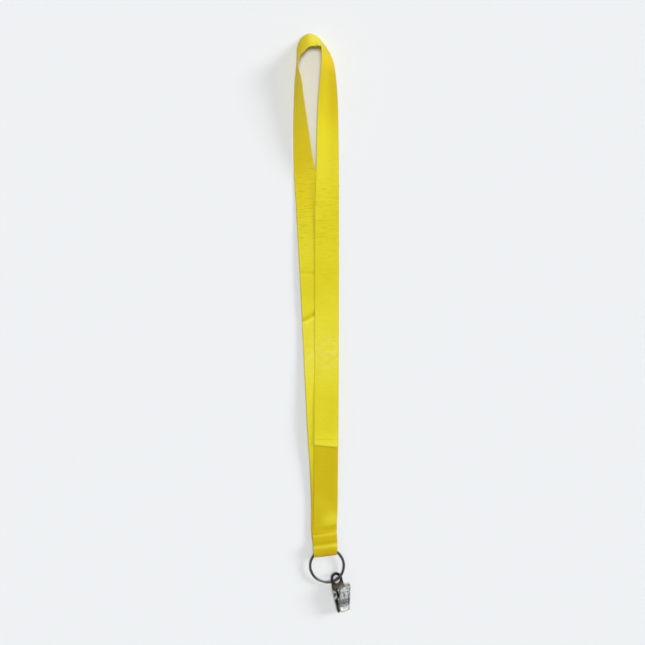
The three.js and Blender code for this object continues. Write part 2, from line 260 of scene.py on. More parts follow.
class Nodes:
    """Short-hand for building a node material."""

    def __init__(self, name):
        self.material = bpy.data.materials.new(name)
        self.material.use_nodes = True
        self.tree = self.material.node_tree
        self.shader = self.tree.nodes["Principled BSDF"]

    def add(self, kind, inputs=None, **settings):
        node = self.tree.nodes.new(kind)
        for key, value in settings.items():
            setattr(node, key, value)
        for key, value in (inputs or {}).items():
            self.put(node.inputs[key], value)
        return node

    def put(self, socket, value):
        if isinstance(value, bpy.types.NodeSocket):
            self.tree.links.new(value, socket)
        else:
            socket.default_value = value

    def math(self, operation, a, b=0.0):
        node = self.add("ShaderNodeMath", operation=operation)
        for socket, value in zip(node.inputs, (a, b)):
            self.put(socket, value)
        return node.outputs[0]

    def noise(self, vector, scale, detail=2.0, roughness=0.5, distortion=0.0):
        node = self.add("ShaderNodeTexNoise", {
            "Vector": vector, "Scale": scale, "Detail": detail, "Roughness": roughness,
            "Distortion": distortion})
        return node.outputs["Fac"]

    def mix(self, factor, a, b):
        """Mixes two colours; 0, 6, 7 and 2 are the node's sockets for factor, colours, result."""
        node = self.add("ShaderNodeMix", data_type="RGBA")
        self.put(node.inputs[0], factor)
        self.put(node.inputs[6], a)
        self.put(node.inputs[7], b)
        return node.outputs[2]

    def ramp(self, factor, low, high, a=0.0, b=1.0):
        """Takes a factor from low to high on to a to b, held at both ends."""
        node = self.add("ShaderNodeMapRange", {
            "Value": factor, "From Min": low, "From Max": high, "To Min": a, "To Max": b},
            clamp=True)
        return node.outputs[0]

    def bump(self, height, distance, strength, normal=None):
        node = self.add("ShaderNodeBump", {
            "Height": height, "Distance": distance, "Strength": strength})
        if normal is not None:
            self.put(node.inputs["Normal"], normal)
        return node.outputs[0]

    def set(self, **values):
        """Sets inputs of the shader, with underscores for the spaces in their names."""
        for key, value in values.items():
            self.put(self.shader.inputs[key.replace("_", " ")], value)


def linear(r, g, b):
    """Linear colour of a display colour with channels from 0 to 255."""
    def one(c):
        c /= 255
        return c / 12.92 if c <= 0.04045 else ((c + 0.055) / 1.055) ** 2.4
    return (one(r), one(g), one(b), 1.0)


def satin_material():
    """Single-face satin: bright face, duller reverse, edges, weft wrinkles, and painted light,
    shade, glints and warm light.
    """
    n = Nodes("yellow_satin")
    uv = n.add("ShaderNodeUVMap", uv_map="cloth").outputs[0]
    split = n.add("ShaderNodeSeparateXYZ", {0: uv})
    across, along = split.outputs[0], split.outputs[1]

    def painted(name):
        return n.add("ShaderNodeAttribute", attribute_name=name).outputs["Fac"]

    def stretched(sx, sy):
        node = n.add("ShaderNodeCombineXYZ")
        n.put(node.inputs[0], n.math("MULTIPLY", across, sx))
        n.put(node.inputs[1], n.math("MULTIPLY", along, sy))
        return node.outputs[0]

    tone, shine, reverse, creased, warm_light = [
        painted(k) for k in ("tone", "shine", "reverse", "creased", "warm_light")]
    wefts = n.math("SINE", n.math("MULTIPLY", along, 2 * math.pi / WEFT_PITCH))
    warps = n.math("SINE", n.math("MULTIPLY", across, 2 * math.pi / WARP_PITCH))
    floats = n.math("MULTIPLY", wefts, n.math("ADD", n.math("MULTIPLY", warps, 0.35), 0.8))
    yarn = n.noise(stretched(0.35, 4.5), 1.0, detail=3.0, roughness=0.6)
    wrinkle = n.noise(stretched(0.06, 0.5), 1.0, detail=2.5, distortion=0.3)
    fine = n.noise(stretched(0.12, 1.1), 1.0, distortion=0.4)
    mottled = n.noise(stretched(0.20, 0.24), 1.0, detail=6.0, roughness=0.72)
    cloud = n.noise(stretched(0.05, 0.03), 1.0)

    face, lit, shade = (0.69, 0.60, 0.020, 1), (0.86, 0.79, 0.060, 1), (0.50, 0.36, 0.008, 1)
    dull, deep, gold = (0.585, 0.455, 0.011, 1), (0.60, 0.36, 0.006, 1), (0.97, 0.72, 0.014, 1)
    painted_glint, orange = (0.80, 0.76, 0.23, 1), (0.47, 0.30, 0.012, 1)
    # the cloth's own colour on the face and the reverse, then painted light (lit) and painted
    # shade (shade, and deep where darkest) from the tone
    level = n.math("ADD", tone, n.math("MULTIPLY", n.math("SUBTRACT", cloud, 0.5), 0.5))
    colour = n.mix(reverse, face, dull)
    colour = n.mix(n.ramp(level, 0.0, 1.0), colour, lit)
    colour = n.mix(n.ramp(level, 0.0, -1.0), colour, shade)
    colour = n.mix(n.ramp(n.math("ADD", tone, 0.3), 0.0, -0.9, 0.0, 0.6), colour, deep)
    # painted warm light: a bright golden cast where the warm light is painted
    colour = n.mix(n.math("MULTIPLY", warm_light, 0.8), colour, gold)
    # painted shade in the fine wrinkles across it, painted glints, and single darker yarns
    line = n.math("MULTIPLY", n.ramp(fine, 0.56, 0.70), creased)
    colour = n.mix(n.math("MULTIPLY", line, 0.40), colour, shade)
    # painted glints: where shine is painted the colour turns toward a pale painted highlight, and
    # the cloth is also glossier there
    glint = n.math("MULTIPLY", n.ramp(mottled, 0.46, 0.66), shine)
    colour = n.mix(n.math("MULTIPLY", glint, 0.5), colour, painted_glint)
    colour = n.mix(n.ramp(yarn, 0.40, 0.75, 0.0, 0.10), colour, shade)
    # edges darker and more orange, much more so along the outer edge, and painted shade in the
    # grooves between the wefts
    bound = n.math("MULTIPLY", n.ramp(across, -9.25, -9.95, 0.0, 0.55),
                   n.ramp(reverse, 0.0, 1.0, 1.0, 0.35))
    colour = n.mix(bound, colour, orange)
    colour = n.mix(n.ramp(across, SELVEDGE, 9.95, 0.0, 0.18), colour, orange)
    colour = n.mix(n.ramp(wefts, -1.0, 0.2, 0.10, 0.0), colour, shade)

    swell = n.math("MULTIPLY", wrinkle, n.math("ADD", n.math("MULTIPLY", creased, 0.8), 0.2))
    normal = n.bump(swell, distance=0.0010, strength=0.5)
    normal = n.bump(n.math("MULTIPLY", line, -1.0), distance=0.0002, strength=0.5, normal=normal)
    normal = n.bump(yarn, distance=0.00008, strength=0.3, normal=normal)
    normal = n.bump(floats, distance=0.00004, strength=0.5, normal=normal)
    n.set(Base_Color=colour, Roughness=n.ramp(glint, 0.0, 1.0, 0.52, 0.34),
          Specular_IOR_Level=n.ramp(shine, 0.0, 1.0, 0.07, 0.28), Normal=normal)
    return n.material


def thread_material(name, colour, dark):
    """Spun polyester thread of two twisted plies, drawn with only a little fuzz and uneven dye.
    """
    n = Nodes(name)
    point = n.add("ShaderNodeTexCoord").outputs["Object"]
    fuzz = n.noise(point, 5200.0, detail=3.0, roughness=0.6)
    slow = n.noise(point, 260.0)
    tone = n.mix(n.ramp(slow, 0.3, 0.7), colour, dark)
    n.set(Base_Color=n.mix(n.ramp(fuzz, 0.4, 0.7, 0.0, 0.35), tone, dark),
          Roughness=0.7, Specular_IOR_Level=0.15,
          Normal=n.bump(fuzz, distance=0.00006, strength=0.6))
    return n.material


def steel_material(name, stops, roughness, painted_reflection, dents=0.0, patches=260.0):
    """Plated steel: colour stops along the part, patches of painted dark reflection, scratches
    and dents.

    Each stop is a place along the part (the "reach" painted on its mesh) and a colour. Where
    "flank" is painted, the steel is the colour of a bent side in shadow.
    """
    n = Nodes(name)
    point = n.add("ShaderNodeTexCoord").outputs["Object"]
    reach = n.add("ShaderNodeAttribute", attribute_name="reach").outputs["Fac"]
    flank = n.add("ShaderNodeAttribute", attribute_name="flank").outputs["Fac"]
    patch = n.noise(point, patches, detail=4.0, roughness=0.6)
    grain = n.noise(point, 3200.0, detail=3.0, roughness=0.6)
    stretch = n.add("ShaderNodeMapping", {0: point})
    stretch.inputs["Scale"].default_value = (1.0, 0.06, 1.0)
    scratch = n.noise(stretch.outputs[0], 5200.0)
    base = stops[0][1]
    for (x0, _), (x1, colour) in zip(stops, stops[1:]):
        base = n.mix(n.ramp(reach, x0, x1), base, colour)
    brown, grey, shadow = (0.10, 0.085, 0.075, 1), (0.16, 0.15, 0.14, 1), (0.100, 0.115, 0.108, 1)
    # painted dark reflections: brown patches that stand in for the mottled reflections in the
    # plated surface
    base = n.mix(n.ramp(patch, 0.38, 0.70, 0.0, painted_reflection), base, brown)
    base = n.mix(n.ramp(grain, 0.5, 0.8, 0.0, 0.2), base, grey)
    base = n.mix(flank, base, shadow)
    normal = n.bump(scratch, distance=0.00002, strength=0.25)
    if dents:
        hollow = n.noise(point, 520.0, detail=1.0, roughness=0.4, distortion=0.4)
        normal = n.bump(hollow, distance=0.0006, strength=dents, normal=normal)
    n.set(Base_Color=base, Metallic=1.0,
          Roughness=n.ramp(patch, 0.3, 0.7, roughness, roughness + 0.16), Normal=normal)
    return n.material


# ---------------------------------------------------------------- camera

camera_data = bpy.data.cameras.new("camera")
camera = bpy.data.objects.new("camera", camera_data)
bpy.context.scene.collection.objects.link(camera)
camera.location = (SHIFT.x * MM, SHIFT.y * MM, CAMERA_HEIGHT)
camera_data.sensor_width = SENSOR_WIDTH
camera_data.lens = SENSOR_WIDTH * CAMERA_HEIGHT / VIEW_WIDTH
camera_data.clip_end = 20
bpy.context.scene.camera = camera


# ---------------------------------------------------------------- ribbon

route_rows = [*NECK_ROUTE, *ring_loop_route(), *TAIL_ROUTE]
route_s, route_at = smooth_route(route_rows)


def ribbon_frames(step):
    """Stations along the ribbon: its middle, the direction across it, its face, its length."""
    stations = []
    for i in range(len(route_s) - 1):
        gap = route_s[i + 1] - route_s[i]
        pieces = max(2, round(gap / step))
        stations += [route_s[i] + gap * k / pieces for k in range(pieces)]
    stations.append(route_s[-1])
    rows = np.array([route_at(d) for d in stations])
    heading, rise = np.radians(rows[:, 3]), np.radians(rows[:, 4])
    across = np.stack([np.cos(rise) * np.cos(heading), np.cos(rise) * np.sin(heading),
                       np.sin(rise)], axis=1)
    middle = rows[:, :3] + across * RIBBON_WIDTH / 2
    tangent = np.gradient(middle, axis=0)
    tangent /= np.linalg.norm(tangent, axis=1)[:, None]
    face = np.cross(tangent, across)
    face /= np.linalg.norm(face, axis=1)[:, None]
    length = np.concatenate([[0], np.cumsum(np.linalg.norm(np.diff(middle, axis=0), axis=1))])
    return middle, across, face, length


middle, across, face, length = ribbon_frames(STATION_STEP)
# distances along the ribbon of the roll's outermost line and of the far end of the neck loop
tunnel_s = length[np.argmin(middle[:, 1])]
top_s = length[np.argmax(middle[:, 1])]


def bell(x, centre, width):
    """1 at the centre, falling to 0 on both sides."""
    return np.exp(-((x - centre) / width) ** 2)


def ease(x, low, high):
    """0 below low, 1 above high, and a smooth rise between them."""
    t = np.clip((x - low) / (high - low), 0, 1)
    return t * t * (3 - 2 * t)


# Creases pressed into the back strand: y on the lane CREASE_LANE, slope across, depth, reach.
CREASE_LANE = -4
CREASES = ((3.9, 0.45, 0.42, 1.0), (40.9, -0.16, 0.16, 0.45))


def on_back_strand(s):
    """The strand that comes down from the loop, as far as the roll round the ring."""
    return (s >= top_s) & (s < tunnel_s - ROLL_REACH)


def crease_distance(v, y, y0, slope):
    """How far up the strand a point is from a crease."""
    return y - (y0 + slope * (v - CREASE_LANE))


def crease_fold(d, above, below):
    """A fold that is soft above its line and sharp below it."""
    return np.where(d > 0, bell(d, 0, above), bell(d, 0, below))


def tail_distance(v, y):
    """Distance up the tail from the ring's tunnel, along lines that tilt towards the seam."""
    d = y - TUNNEL.y
    return d - v * (0.04 + 0.005 * np.clip(d, 0, 18))


def surface_lift(v, s, y):
    """How far the cloth stands off its ruled line, in mm, towards its face."""
    front, back, tail = s < top_s, on_back_strand(s), s > tunnel_s + ROLL_REACH
    lift = 0.08 * value_noise(v * 0.10, s * 0.22, 3) + 0.04 * value_noise(v * 0.3, s * 0.7, 5)
    lift = lift * (0.35 + 0.65 * np.clip((120 - y) / 40, 0, 1)) * ease(y, -186, -172)
    for y0, slope, depth, reach in CREASES:
        fold = crease_fold(crease_distance(v, y, y0, slope), 3.2 * reach, 0.7 * reach)
        lift = lift + np.where(back, depth * ease(-v, -9, -1) * (0.5 - fold), 0)
    # the tail is gathered between its seam and the roll round the ring
    d = tail_distance(v, y)
    pucker = 0.75 * value_noise(v * 0.55, s * 0.1, 9) + 0.6
    gather = (-0.75 * bell(d, 9.0, 2.2) + 0.50 * bell(d, 14.2, 1.8)
              - 0.34 * bell(d, 18.9, 1.3) * (0.8 + 0.3 * pucker)
              + 0.50 * bell(d, 24.5, 3.6) * ease(v, -6, 7))
    gather = gather + 0.22 * bell(d, 11.0, 6.0) * value_noise(v * 0.33, s * 0.5, 21)
    lift = np.where(tail, -gather, lift)
    # the cut end turns up a little
    return lift + np.where(front, 0.25 * bell(s, 0, 2.2), 0)


def cloth_paint(v, s, y):
    """Per vertex: painted light and shade as a tone (-1 dark to 1 bright), painted glints
    (shine), reverse face, wrinkling, and painted warm light.
    """
    front, tail = s < top_s, s > tunnel_s + REVERSE_START
    # painted light and shade along the front and back strands, given by height
    front_shading = np.interp(y, [-103, -98, -88, -64, -40, -28, 2, 30, 90, 126, 151, 184, 217, 233],
                           [.5, .45, .12, .08, .35, .42, .38, .05, .12, .0, -.05, -.4, -.6, .0])
    back_shading = np.interp(y, [-170, -140, -100, -64, -30, 0, 25, 100, 151, 184, 215, 228, 236],
                          [-.75, -.7, .1, .5, .55, .4, .15, .2, .35, .4, .3, -.1, .25])
    tone = np.where(front, front_shading, back_shading)
    # above y 60, painted light on the inner half of each strand and painted shade on the outer
    # half
    inner = ease(v, -6, 4)
    tone = tone + np.where(y > 60, 0.25 * (inner - 0.6) * ease(y, 60, 130), 0)
    back = on_back_strand(s)
    # painted shade along each crease, with a painted highlight (glow) just below it
    for y0, slope, depth, reach in CREASES:
        d = crease_distance(v, y, y0, slope)
        fold = crease_fold(d, 3.4 * reach, 0.6 * reach)
        glow = 0.5 * bell(d, -2.2, 1.6)
        tone = tone - np.where(back, 2.1 * depth * ease(-v, -9, -1) * (fold - glow), 0)
    # painted highlight on the turn at the far end of the loop, with a band of painted shade on
    # each side of it
    tone = (tone + 1.4 * bell(s, top_s - 3, 7) - 0.30 * bell(s, top_s + 17, 9)
            - 0.10 * bell(s, top_s - 22, 8))
    # the gathers of the tail: painted shade in their hollows and painted highlights on their
    # crowns
    d = tail_distance(v, y)
    right = 0.35 + 0.65 * ease(v, -8, 5)
    tail_shading = (0.65 * bell(d, 4.6, 1.6) - 0.85 * bell(d, -0.6, 2.6) * right
                 - 0.25 * bell(d, 9.2, 2.6) + 0.42 * bell(d, 14.2, 1.7)
                 - 0.65 * bell(d, 19.0, 1.6) * right
                 + 0.38 * bell(d, 25.5, 6.0) * ease(v, -6, 6))
    tone = np.where(tail, tail_shading, tone)
    # painted glints where the satin catches the light; the same mask also makes the cloth
    # glossier there
    shine = np.where(tail, 0, bell(y, -27, 15) * ease(v, -11, -7)
                     + 0.25 * bell(y, 129, 12) * front + 0.35 * bell(y, 0, 6) * ~front)
    creased = np.where(tail, 0.25, bell(y, 92, 42) + 0.25)
    # painted warm light on the back strand as it rises into the loop, and on the front strand
    # just before the turn
    warm_light = (np.where(front, 0.0, 0.85 * ease(y, 70, 150)) * (1 - 0.6 * bell(s, top_s - 3, 10))
            + 0.55 * bell(s, top_s - 22, 9))
    return tone, shine, tail.astype(float), creased, np.where(tail, 0, np.clip(warm_light, 0, 1))


def hug_ring(points):
    """Draws the roll of ribbon in round the wire, more at its right end than at its left."""
    skew = rad(TUNNEL_SKEW)
    centre = np.array((TUNNEL.x, TUNNEL.y))
    along = np.array((math.cos(skew), math.sin(skew)))
    inward = np.array((-math.sin(skew), math.cos(skew)))
    flat = points[..., :2] - centre
    a, d = flat @ along, flat @ inward
    near = points[..., 1] < TUNNEL.y + 5
    # a is the place along the tunnel and d the distance up from it
    tuck = np.where(d < 0, 1 - 0.22 * ease(a, -10, 10), 1)
    a2 = a - 0.9 * ease(a, 2, 10) * ease(-d, -3, 3.5) + 0.3 * ease(-a, 4, 10) * ease(-d, 0, 4)
    moved = centre + a2[..., None] * along + (d * tuck)[..., None] * inward
    out = points.copy()
    out[..., :2] = np.where(near[..., None], moved, points[..., :2])
    squeeze = 1 - 0.02 * ease(-d, -6, -1)
    out[..., 2] = np.where(near, TUNNEL.z + (points[..., 2] - TUNNEL.z) * squeeze, points[..., 2])
    return out


def build_ribbon():
    """The whole ribbon as one closed sheet: lanes across it, a row of both faces per station."""
    edge = np.array([0.95, 0.975, 0.992, 1.0])
    lanes = np.concatenate([-edge[::-1], np.linspace(-0.9, 0.9, 19), edge])
    v = lanes * RIBBON_WIDTH / 2
    # full thickness almost to the edges, with a low bead along each selvedge
    thick = RIBBON_THICK / 2 * np.sqrt(np.clip(1 - np.abs(lanes) ** 26, 0.0, 1))
    thick = np.maximum(thick, 0.06) + 0.03 * np.exp(-((np.abs(v) - SELVEDGE) / 0.4) ** 2)
    rows = len(middle)
    vv, ss = np.meshgrid(v, length)
    yy = np.repeat(middle[:, 1:2], len(v), axis=1)
    lift = surface_lift(vv, ss, yy)
    base = middle[:, None, :] + across[:, None, :] * vv[:, :, None]
    top = base + face[:, None, :] * (lift + thick)[:, :, None]
    low = base + face[:, None, :] * (lift - thick)[:, :, None]
    loop = hug_ring(np.concatenate([top, low[:, ::-1, :]], axis=1))
    flat = np.stack([vv, ss], axis=2)
    uv = np.concatenate([flat, flat[:, ::-1, :]], axis=1)
    count = loop.shape[1]
    verts = loop.reshape(-1, 3)
    faces = loft_faces(rows, count, caps=False)
    # the two cut ends are closed lane by lane
    for i, flip in ((0, False), (rows - 1, True)):
        for j in range(len(v) - 1):
            a, b = i * count + j, i * count + j + 1
            c, d = i * count + count - 2 - j, i * count + count - 1 - j
            quad = (a, d, c, b)
            faces.append(quad[::-1] if flip else quad)
    obj = mesh_object("neck_ribbon", verts, faces, uv.reshape(-1, 2))
    for key, values in zip(("tone", "shine", "reverse", "creased", "warm_light"),
                           cloth_paint(vv, ss, yy)):
        paint(obj, key, np.concatenate([values, values[:, ::-1]], axis=1))
    return obj


ribbon = build_ribbon()
ribbon.data.materials.append(satin_material())
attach(ribbon, "strap")
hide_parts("ribbon")


# ---------------------------------------------------------------- stitching

def surface_point(s, v, side, height):
    """Point at distance s and v across, in mm, standing height off the face or the reverse."""
    i = int(np.clip(np.searchsorted(length, s) - 1, 0, len(length) - 2))
    t = (s - length[i]) / (length[i + 1] - length[i])
    m = middle[i] * (1 - t) + middle[i + 1] * t
    a = across[i] * (1 - t) + across[i + 1] * t
    f = face[i] * (1 - t) + face[i + 1] * t
    y = m[1] + a[1] * v
    lift = float(surface_lift(np.array([v]), np.array([s]), np.array([y]))[0])
    return Vector(m + a * v + f * (lift + side * (RIBBON_THICK / 2 + height)))


def zigzag(name, node, side, s0, width, pitch, swing, radius, tilt, colours):
    """One row of zigzag stitches; each thread rises from one needle hole and dips into the next.

    The row lies at distance s0 along the ribbon, on its face (side 1) or its reverse (side -1),
    and leans by tilt. Its threads swing to and fro along the ribbon.
    """
    verts, faces, holes = [], [], []
    for k in range(int(width / pitch) + 1):
        v0 = -width / 2 + k * pitch
        holes += [(s0 - swing / 2, v0), (s0 + swing / 2, v0)]
    steps, sides, squash = 8, 8, 0.85
    first, span = 0.06, 0.88
    for (s_from, v_from), (s_to, v_to) in zip(holes, holes[1:]):
        points = []
        for q in range(steps + 1):
            t = first + span * q / steps
            v = v_from + (v_to - v_from) * t
            h = radius * (1.3 * math.sin(math.pi * q / steps) ** 0.5 - 0.8)
            points.append(surface_point(s_from + (s_to - s_from) * t + tilt * v, v, side, h))
        base = len(verts)
        verts += tube_points(points, radius, sides, squash)
        faces += [tuple(base + i for i in f) for f in loft_faces(len(points), sides)]
    obj = mesh_object(name, [tuple(p) for p in verts], faces)
    obj.data.materials.append(thread_material(name + "_thread", *colours))
    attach(obj, "strap")
    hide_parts(node)


def station_near(y, after):
    """Distance along the ribbon where its middle passes y, on the part after a distance."""
    index = [i for i in range(len(length)) if length[i] > after]
    return float(length[min(index, key=lambda i: abs(middle[i][1] - y))])


zigzag("ring_seam_thread", "ring_seam_stitching", side=-1,
       s0=station_near(TUNNEL.y + STITCH_DISTANCE, tunnel_s),
       width=17.0, pitch=0.85, swing=1.6, radius=0.13, tilt=0.10,
       colours=((0.68, 0.55, 0.018, 1), (0.54, 0.40, 0.010, 1)))
zigzag("end_seam_thread", "end_seam_stitching", side=1, s0=5.7,
       width=16.5, pitch=0.85, swing=1.4, radius=0.11, tilt=-0.04,
       colours=((0.76, 0.68, 0.04, 1), (0.70, 0.60, 0.025, 1)))


# ---------------------------------------------------------------- split ring

def ring_matrix():
    """Places the ring: its wire runs through the tunnel, and it slopes down from the strap."""
    skew = rad(TUNNEL_SKEW)
    drop = RING_ARC_DEPTH * math.cos(rad(RING_TILT))
    centre = Vector((TUNNEL.x + drop * math.sin(skew), TUNNEL.y - drop * math.cos(skew),
                     TUNNEL.z - RING_ARC_DEPTH * math.sin(rad(RING_TILT))))
    return (Matrix.Translation(centre) @ Matrix.Rotation(skew, 4, "Z")
            @ Matrix.Rotation(rad(RING_TILT), 4, "X")
            @ Matrix.Rotation(rad(RING_END_ANGLE), 4, "Z"))


def build_ring():
    """Two turns of flattened wire that cross over each other in one short step."""
    step_angle, end_gap = rad(34), rad(4)
    end_length, end_size = 0.7, 0.72
    total = 4 * math.pi - step_angle - end_gap
    segments, sides = 300, 20
    matrix = ring_matrix()
    verts = []
    for i in range(segments + 1):
        a = total * i / segments
        t = min(1, max(0, (a - 2 * math.pi + step_angle) / step_angle))
        z = RING_PITCH * (t * t * (3 - 2 * t) - 0.5)
        from_end = min(a, total - a) * RING_RADIUS
        taper = end_size + (1 - end_size) * min(1, from_end / end_length) ** 0.5
        for j in range(sides):
            b = 2 * math.pi * j / sides
            c, s = math.cos(b), math.sin(b)
            r = WIRE_HALF_BREADTH * math.copysign(abs(c) ** 0.85, c) * taper
            h = WIRE_HALF_HEIGHT * math.copysign(abs(s) ** 0.75, s) * taper
            verts.append(matrix @ Vector(((RING_RADIUS + r) * math.cos(a),
                                          (RING_RADIUS + r) * math.sin(a), z + h)))
    obj = mesh_object("split_ring_wire", [tuple(p) for p in verts],
                      loft_faces(segments + 1, sides))
    centre = matrix.translation
    angles = [math.degrees(math.atan2(p.y - centre.y, p.x - centre.x)) % 360 for p in verts]
    # painted highlight on the wire at the bottom of the ring
    bright_angle, bright_spread = 251, 21
    paint(obj, "reach", bell(np.array(angles), bright_angle, bright_spread))
    return obj


ring = build_ring()
ring.data.materials.append(steel_material(
    "ring_nickel", ((0.0, linear(140, 136, 134)), (1.0, linear(214, 206, 195))), 0.26, 0.30))
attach(ring, "ring")
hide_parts("split_ring")


# ---------------------------------------------------------------- bulldog clip

def clip_matrix():
    """Frame of the clip: x from its eye to its tip, y across it, z out of its front."""
    heading = Vector((CLIP_HEADING[0], CLIP_HEADING[1], math.sin(rad(CLIP_PITCH)))).normalized()
    level = Vector((0, 0, 1)).cross(heading).normalized()
    side = Matrix.Rotation(rad(-CLIP_ROLL), 3, heading) @ level
    front = heading.cross(side)
    basis = Matrix((heading, side, front)).transposed().to_4x4()
    return Matrix.Translation(CLIP_EYE) @ basis


CLIP = clip_matrix()

# Back jaw: sheet, eye, half width, tip, and the outsides of its ears.
SHEET = 0.8
EYE_HOLE = 3.6
EYE_OUTER = 5.3
HALF_BACK = 6.2
BACK_TIP = 26.6
EAR_OUTER = 6.7
# Front jaw: sheet, half width, bend radius, and where its lip starts and ends.
FRONT_SHEET = 0.7
HALF_FRONT = 5.25
FRONT_BEND = 0.55
LIP_START, LIP_END = 25.3, 27.0
# Hinge pin, and the spring that is coiled round it.
PIN_X, PIN_Z, PIN_R = 11.6, 2.5, 0.9
COIL_RADIUS = 1.6
COIL_TURNS = 4
COIL_HALF = 1.7
SPRING_WIRE = 0.33


def to_clip(points):
    """Points in the clip's frame as points in the frame of the routes."""
    return [tuple(CLIP @ Vector(p)) for p in points]


def plate_curve(outlines, thickness, bevel):
    """Flat plate with holes and rounded edges, as vertices and faces about z = 0, in mm."""
    curve = bpy.data.curves.new("plate", "CURVE")
    curve.dimensions = "2D"
    curve.fill_mode = "BOTH"
    curve.extrude = thickness / 2 - bevel
    curve.bevel_depth = bevel
    curve.bevel_resolution = 2
    for points in outlines:
        spline = curve.splines.new("POLY")
        spline.points.add(len(points) - 1)
        for point, (x, y) in zip(spline.points, points):
            point.co = (x, y, 0, 1)
        spline.use_cyclic_u = True
    obj = bpy.data.objects.new("plate", curve)
    bpy.context.scene.collection.objects.link(obj)
    mesh = bpy.data.meshes.new_from_object(obj.evaluated_get(
        bpy.context.evaluated_depsgraph_get()))
    bm = bmesh.new()
    bm.from_mesh(mesh)
    bmesh.ops.remove_doubles(bm, verts=bm.verts, dist=1e-5)
    verts = [tuple(v.co) for v in bm.verts]
    bm.verts.index_update()
    faces = [tuple(v.index for v in f.verts) for f in bm.faces]
    bm.free()
    bpy.data.meshes.remove(mesh)
    bpy.data.objects.remove(obj)
    bpy.data.curves.remove(curve)
    return verts, faces


def arc(cx, cy, r, a0, a1, steps):
    """Points on an arc from angle a0 to angle a1."""
    return [(cx + r * math.cos(rad(a0 + (a1 - a0) * i / steps)),
             cy + r * math.sin(rad(a0 + (a1 - a0) * i / steps))) for i in range(steps + 1)]


def join_parts(name, parts):
    """One object from several (vertices, faces) pairs in the clip's frame."""
    verts, faces = [], []
    for part_verts, part_faces in parts:
        base = len(verts)
        verts += part_verts
        faces += [tuple(base + i for i in f) for f in part_faces]
    obj = mesh_object(name, to_clip(verts), faces)
    paint(obj, "reach", [p[0] for p in verts])
    return obj


def revolve(profile, steps):
    """Closed solid of revolution about the clip's y axis through the pin: (radius, y) points."""
    verts, faces = [], []
    n = len(profile)
    for i in range(steps):
        a = 2 * math.pi * i / steps
        for r, y in profile:
            verts.append((PIN_X + r * math.cos(a), y, PIN_Z + r * math.sin(a)))
    for i in range(steps):
        k = (i + 1) % steps
        for j in range(n - 1):
            faces.append((i * n + j, i * n + j + 1, k * n + j + 1, k * n + j))
    return verts, faces


def build_back_jaw():
    """Flat plate with a rimmed eye at its tail, two ears for the pin and a toothed lip."""
    w, corner = HALF_BACK, 1.1
    edge = [(2.2, -5.45), (4.6, -5.85), (6.4, -w), (7.2, -w - 0.1), (7.8, -EAR_OUTER + 0.3),
            (15.8, -EAR_OUTER + 0.3), (16.6, -w - 0.1), (17.4, -w)]
    outline = arc(0, 0, EYE_OUTER + 0.25, 80, 280, 40) + edge
    outline += arc(BACK_TIP - corner, -w + corner, corner, 270, 360, 8)
    outline += arc(BACK_TIP - corner, w - corner, corner, 0, 90, 8)
    outline += [(x, -y) for x, y in edge[::-1]]
    hole = arc(0, 0, EYE_HOLE, 0, 352.5, 47)
    parts = [plate_curve([outline, hole], SHEET, 0.18)]
    # rolled rim of the eye
    rim, rim_steps, rim_sides = [], 64, 12
    for i in range(rim_steps):
        a = 2 * math.pi * i / rim_steps
        for j in range(rim_sides):
            b = 2 * math.pi * j / rim_sides
            r = 4.55 + 0.66 * math.cos(b)
            rim.append((r * math.cos(a), r * math.sin(a), 0.56 * math.sin(b)))
    parts.append((rim, loft_faces(rim_steps, rim_sides, closed_rows=True)))
    ear = [(7.5, 0.1), (16.1, 0.1)] + arc(12.8, 3.4, 1.5, 20, 75, 6)
    ear += arc(10.4, 3.4, 1.5, 105, 160, 6)
    pin_hole = arc(PIN_X, PIN_Z, 0.96, 0, 345, 23)
    verts, faces = plate_curve([ear, pin_hole], SHEET, 0.16)
    for side in (-1, 1):
        y = side * (EAR_OUTER - SHEET / 2)
        parts.append(([(p[0], y + p[2], p[1]) for p in verts], faces))
    # teeth along the lip
    lip, tooth_pitch, tooth_height = [], 1.2, 0.16
    lip_profile = [(25.3, 0.2), (26.3, 0.2), (26.52, 0.55), (26.3, 0.95), (25.85, 0.95),
                   (25.55, 0.55)]
    lip_rows = np.linspace(-w + 1.2, w - 1.2, 23)
    for y in lip_rows:
        dip = tooth_height * math.cos(y * 2 * math.pi / tooth_pitch)
        lip += [(x, float(y), z + (dip if z > 0.5 else 0)) for x, z in lip_profile]
    parts.append((lip, loft_faces(len(lip_rows), len(lip_profile))))
    return join_parts("clip_back_jaw", parts)


def jaw_profile(x):
    """Height of the front jaw's outer face above the back jaw, along the clip."""
    xs = [5.9, 6.6, 7.4, 8.4, 14.6, 20.8, 23.2, 25.0, 26.2, 27.0]
    zs = [10.1, 10.35, 10.35, 10.05, 7.1, 4.15, 3.25, 2.75, 2.35, 1.75]
    return float(np.interp(x, xs, zs))


def flange_bottom(x):
    """Height of the lower edge of the front jaw's side flanges, along the clip."""
    xs = [6.6, 7.4, 8.6, 10.0, 11.6, 13.4, 15.4, 16.8, 20.6, 23.2, 26.2]
    zs = [8.6, 7.6, 4.4, 1.65, 0.95, 1.1, 2.6, 3.1, 1.8, 0.95, 0.75]
    return float(np.interp(x, xs, zs))


def knob(x, y, centre_x, centre_y, half_length, half_width):
    """A smooth round bump, 1 high at its centre."""
    return math.exp(-math.hypot((x - centre_x) / half_length, (y - centre_y) / half_width) ** 2)


